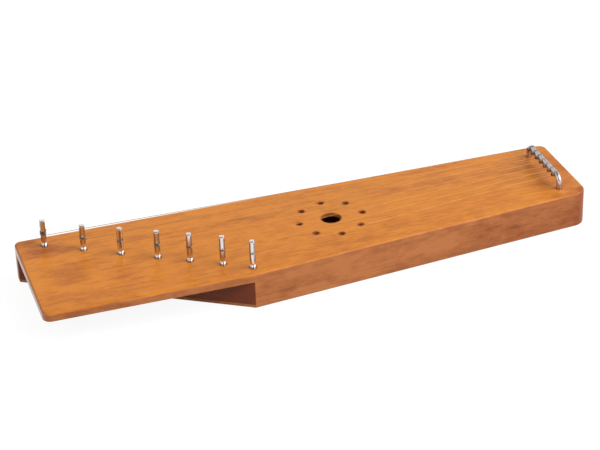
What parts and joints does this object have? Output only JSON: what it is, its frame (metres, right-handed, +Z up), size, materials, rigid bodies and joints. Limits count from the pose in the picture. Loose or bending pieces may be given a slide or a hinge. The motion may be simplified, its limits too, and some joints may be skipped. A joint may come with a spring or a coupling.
{
  "type": "gusli",
  "caption": "Wing-shaped zither: a hollow wooden box with an open wing, and metal strings from a bent tail rod to an oblique row of turning pins.",
  "frame": {"origin": "middle of the bounding box on the underside, which is the face that the part rests on", "axes": "+X along the length, from the open wing to the tailpiece bar; +Y across, from the player's side to the straight rear edge; +Z up, out of the soundboard"},
  "size_m": [0.515, 0.132, 0.062],
  "materials": {
    "wood_top": "satin honey-orange lacquer",
    "wood_side": "satin red-brown lacquer",
    "wood_inner": "bare wood",
    "pin_steel": "nickel plated",
    "bar_steel": "drawn steel rod",
    "string_steel": "plain steel wire",
    "ferrule_brass": "dull brass"
  },
  "bodies": {
    "body": {"top_plate": "wood_top", "back_plate": "wood_side", "front_side": "wood_side", "rear_side": "wood_side", "pin_block": "wood_side", "tail_block": "wood_side", "brace_1": "wood_inner", "brace_2": "wood_inner", "tailpiece_bar": "bar_steel", "string_1": "string_steel", "string_2": "string_steel", "string_3": "string_steel", "string_4": "string_steel", "string_5": "string_steel", "string_6": "string_steel", "string_7": "string_steel", "ball_end_1": "ferrule_brass", "ball_end_2": "ferrule_brass", "ball_end_3": "ferrule_brass", "ball_end_4": "ferrule_brass", "ball_end_5": "ferrule_brass", "ball_end_6": "ferrule_brass", "ball_end_7": "ferrule_brass"},
    "pin_1": {"tuning_pin_1": "pin_steel", "string_winding_1": "string_steel"},
    "pin_2": {"tuning_pin_2": "pin_steel", "string_winding_2": "string_steel"},
    "pin_3": {"tuning_pin_3": "pin_steel", "string_winding_3": "string_steel"},
    "pin_4": {"tuning_pin_4": "pin_steel", "string_winding_4": "string_steel"},
    "pin_5": {"tuning_pin_5": "pin_steel", "string_winding_5": "string_steel"},
    "pin_6": {"tuning_pin_6": "pin_steel", "string_winding_6": "string_steel"},
    "pin_7": {"tuning_pin_7": "pin_steel", "string_winding_7": "string_steel"}
  },
  "joints": [
    {"name": "pin_1_turn", "type": "hinge", "parent": "body", "child": "pin_1", "pos_m": [-0.23243, 0.04965, 0.034], "axis": [0, 0, 1], "continuous": true},
    {"name": "pin_2_turn", "type": "hinge", "parent": "body", "child": "pin_2", "pos_m": [-0.20123, 0.02975, 0.034], "axis": [0, 0, 1], "continuous": true},
    {"name": "pin_3_turn", "type": "hinge", "parent": "body", "child": "pin_3", "pos_m": [-0.17172, 0.01093, 0.034], "axis": [0, 0, 1], "continuous": true},
    {"name": "pin_4_turn", "type": "hinge", "parent": "body", "child": "pin_4", "pos_m": [-0.14305, -0.00736, 0.034], "axis": [0, 0, 1], "continuous": true},
    {"name": "pin_5_turn", "type": "hinge", "parent": "body", "child": "pin_5", "pos_m": [-0.11817, -0.02323, 0.034], "axis": [0, 0, 1], "continuous": true},
    {"name": "pin_6_turn", "type": "hinge", "parent": "body", "child": "pin_6", "pos_m": [-0.09288, -0.03936, 0.034], "axis": [0, 0, 1], "continuous": true},
    {"name": "pin_7_turn", "type": "hinge", "parent": "body", "child": "pin_7", "pos_m": [-0.07011, -0.05388, 0.034], "axis": [0, 0, 1], "continuous": true}
  ]
}
